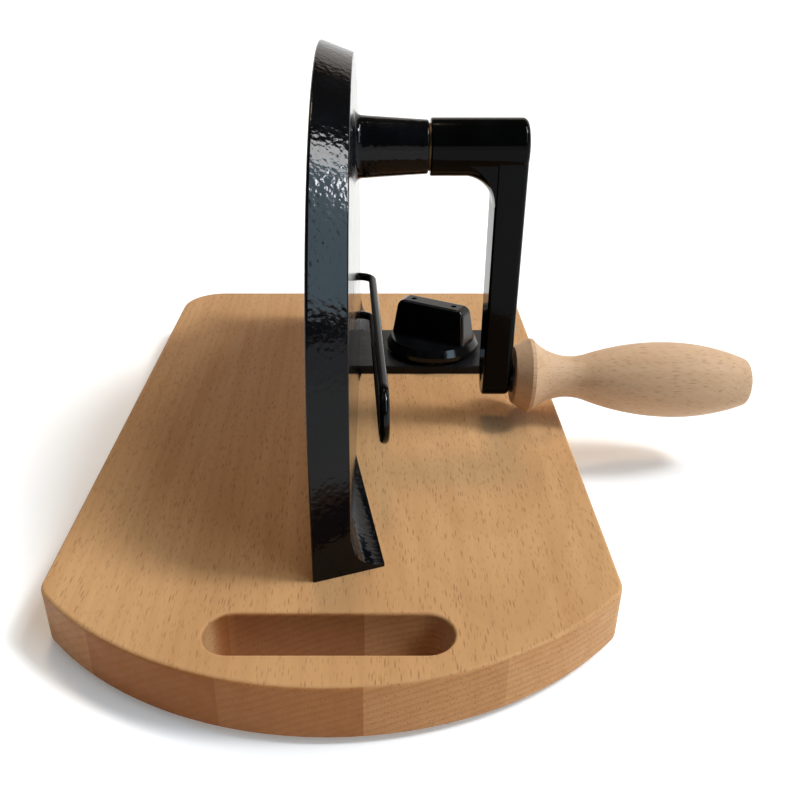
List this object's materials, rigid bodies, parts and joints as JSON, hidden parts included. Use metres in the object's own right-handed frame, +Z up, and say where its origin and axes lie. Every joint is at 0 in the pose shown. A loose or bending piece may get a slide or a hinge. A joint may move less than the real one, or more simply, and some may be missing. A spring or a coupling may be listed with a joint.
{
  "type": "hand cranked bread slicer",
  "caption": "Bread slicer on a wooden board: an upright frame carries a sickle knife turned by a crank, with a knob that sets the slice thickness.",
  "frame": {"origin": "on the board's underside, straight below the crank shaft's axis", "axes": "+Z up, +X along the shaft towards the crank, +Y along the board away from the hand slot"},
  "size_m": [0.3382, 0.385, 0.2225],
  "materials": {
    "board": "oiled beech",
    "frame": "black hammered enamel",
    "crank": "gloss black enamel",
    "grip": "raw turned beech",
    "knife": "ground",
    "hardware": "zinc plated",
    "dark_washer": "blackened",
    "bronze": "sintered bronze",
    "foot": "matt",
    "knob": "gloss black",
    "glide": "natural nylon",
    "stop": "satin",
    "wire": "gloss black enamel"
  },
  "bodies": {
    "base": {"cutting_board": "board", "rubber_feet": "foot", "foot_screws": "hardware", "frame_casting": "frame", "frame_screws": "hardware", "frame_washers": "hardware", "guide_bushes": "bronze", "spindle_bush": "bronze", "shaft_bush_left": "bronze", "shaft_bush_right": "bronze"},
    "rotor": {"thrust_washer": "bronze", "knife_shaft": "hardware", "knife": "knife", "knife_screws": "hardware", "crank_arm": "crank", "crank_set_screw": "hardware", "grip_bolt": "hardware", "grip_washer": "dark_washer", "grip_end_washer": "hardware"},
    "grip": {"grip": "grip"},
    "knob": {"adjuster_knob": "knob", "knob_spindle": "hardware", "glide_ring": "glide", "spindle_washer": "hardware", "spindle_nut": "hardware"},
    "stop": {"stop_plate": "stop", "stop_screws": "hardware", "slide_bar": "frame", "follower_pin": "hardware", "guide_wire": "wire"}
  },
  "joints": [
    {"name": "crank_spin", "type": "hinge", "parent": "base", "child": "rotor", "pos_m": [0, 0, 0.1728], "axis": [-1, 0, 0], "continuous": true},
    {"name": "grip_spin", "type": "hinge", "parent": "rotor", "child": "grip", "pos_m": [0.08985, 0, 0.052], "axis": [0.9994, 0, -0.0349], "continuous": true},
    {"name": "knob_turn", "type": "hinge", "parent": "base", "child": "knob", "pos_m": [0.0539, 0.0804, 0.0323], "axis": [0, 0, -1], "range_deg": [0, 270]},
    {"name": "stop_slide", "type": "slide", "parent": "base", "child": "stop", "axis": [1, 0, 0], "range_m": [0, 0.01]}
  ],
  "couplings": [
    {"joint": "knob_turn", "follows": "stop_slide", "rad_per_m": 471.24}
  ]
}
